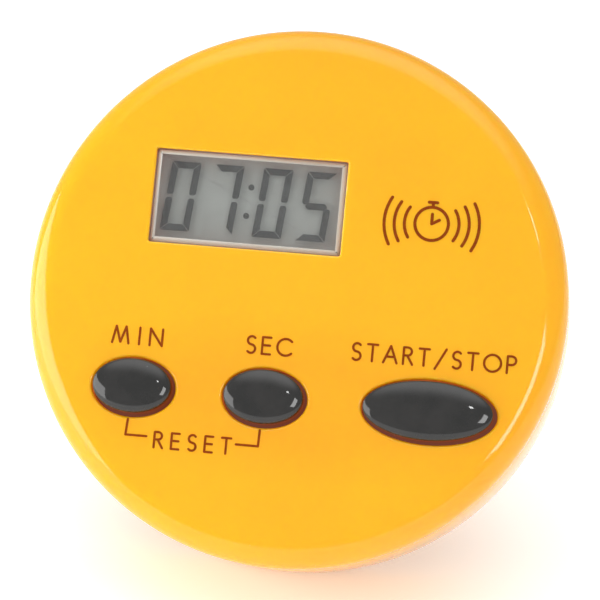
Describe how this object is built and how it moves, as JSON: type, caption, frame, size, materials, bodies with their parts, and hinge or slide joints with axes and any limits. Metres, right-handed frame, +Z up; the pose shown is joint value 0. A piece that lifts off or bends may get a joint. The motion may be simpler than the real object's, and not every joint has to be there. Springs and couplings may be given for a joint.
{
  "type": "digital kitchen timer",
  "caption": "Round yellow pocket kitchen timer with a liquid-crystal display, oval push buttons, a fold-out magnetic stand and a battery door.",
  "frame": {"origin": "bottom centre of the box of the timer as it stands on its open stand, in the plane of the table", "axes": "+Z up, -Y towards the side that the face looks at (the face leans back 32 degrees from upright), +X to the right of someone reading the face"},
  "size_m": [0.07, 0.0546, 0.0691],
  "materials": {
    "yellow_plastic": "glossy moulded ABS",
    "charcoal_plastic": "glossy moulded ABS",
    "clear_plastic": "clear polished acrylic",
    "display_glass": "thin polished glass",
    "polariser_film": "grey film",
    "reflector_film": "silver-grey reflecting film",
    "white_plastic": "moulded ABS",
    "silicone": "matt silicone rubber",
    "carbon_rubber": "matt conductive rubber",
    "circuit_board": "green solder mask",
    "black_resin": "black epoxy",
    "plated_steel": "nickel-plated",
    "brass": "rolled sheet",
    "ceramic": "fired, silvered",
    "ferrite": "matt ferrite and enamelled wire",
    "component_body": "lacquered",
    "black_plastic": "sleeve",
    "red_insulation": "PVC insulation",
    "cell_jacket": "printed sleeve on a steel can",
    "magnet": "nickel-plated ferrite magnet"
  },
  "bodies": {
    "housing": {"battery_cell": "cell_jacket", "battery_wire_black": "black_plastic", "battery_wire_red": "red_insulation", "board_screw_1": "plated_steel", "board_screw_2": "plated_steel", "board_screw_3": "plated_steel", "boost_coil": "ferrite", "buzzer_ceramic": "ceramic", "buzzer_plate": "brass", "buzzer_wire_black": "black_plastic", "buzzer_wire_red": "red_insulation", "ceramic_capacitor": "component_body", "controller_chip": "black_resin", "crystal": "plated_steel", "electrolytic_capacitor": "black_plastic", "front_glass": "display_glass", "front_housing": "yellow_plastic", "front_polariser": "polariser_film", "housing_screw_1": "plated_steel", "housing_screw_2": "plated_steel", "housing_screw_3": "plated_steel", "housing_screw_4": "plated_steel", "keypad_membrane": "silicone", "lcd_holder": "white_plastic", "lcd_window": "clear_plastic", "main_board": "circuit_board", "negative_contact": "plated_steel", "positive_contact": "plated_steel", "rear_glass": "display_glass", "rear_housing": "yellow_plastic", "reflector": "reflector_film", "resistor_1": "component_body", "resistor_2": "component_body", "transistor": "black_resin", "zebra_strip": "silicone"},
    "min_button": {"min_button": "charcoal_plastic", "min_contact_pill": "carbon_rubber"},
    "sec_button": {"sec_button": "charcoal_plastic", "sec_contact_pill": "carbon_rubber"},
    "start_stop_button": {"start_stop_button": "charcoal_plastic", "start_stop_contact_pill": "carbon_rubber"},
    "stand": {"stand": "yellow_plastic", "magnet": "magnet"},
    "battery_door": {"battery_door": "yellow_plastic"}
  },
  "joints": [
    {"name": "min_press", "type": "slide", "parent": "housing", "child": "min_button", "axis": [0, 0.848, -0.5299], "range_m": [0, 0.0008], "stiffness_N_per_m": 1200, "deforming": ["keypad_membrane"]},
    {"name": "sec_press", "type": "slide", "parent": "housing", "child": "sec_button", "axis": [0, 0.848, -0.5299], "range_m": [0, 0.0008], "stiffness_N_per_m": 1200, "deforming": ["keypad_membrane"]},
    {"name": "start_stop_press", "type": "slide", "parent": "housing", "child": "start_stop_button", "axis": [0, 0.848, -0.5299], "range_m": [0, 0.0008], "stiffness_N_per_m": 1200, "deforming": ["keypad_membrane"]},
    {"name": "stand_hinge", "type": "hinge", "parent": "housing", "child": "stand", "pos_m": [0, 0.01165, 0.03521], "axis": [1, 0, 0], "range_deg": [-44, 0]},
    {"name": "battery_door_slide", "type": "slide", "parent": "housing", "child": "battery_door", "axis": [0, 0.5299, 0.848], "range_m": [0, 0.024]}
  ]
}
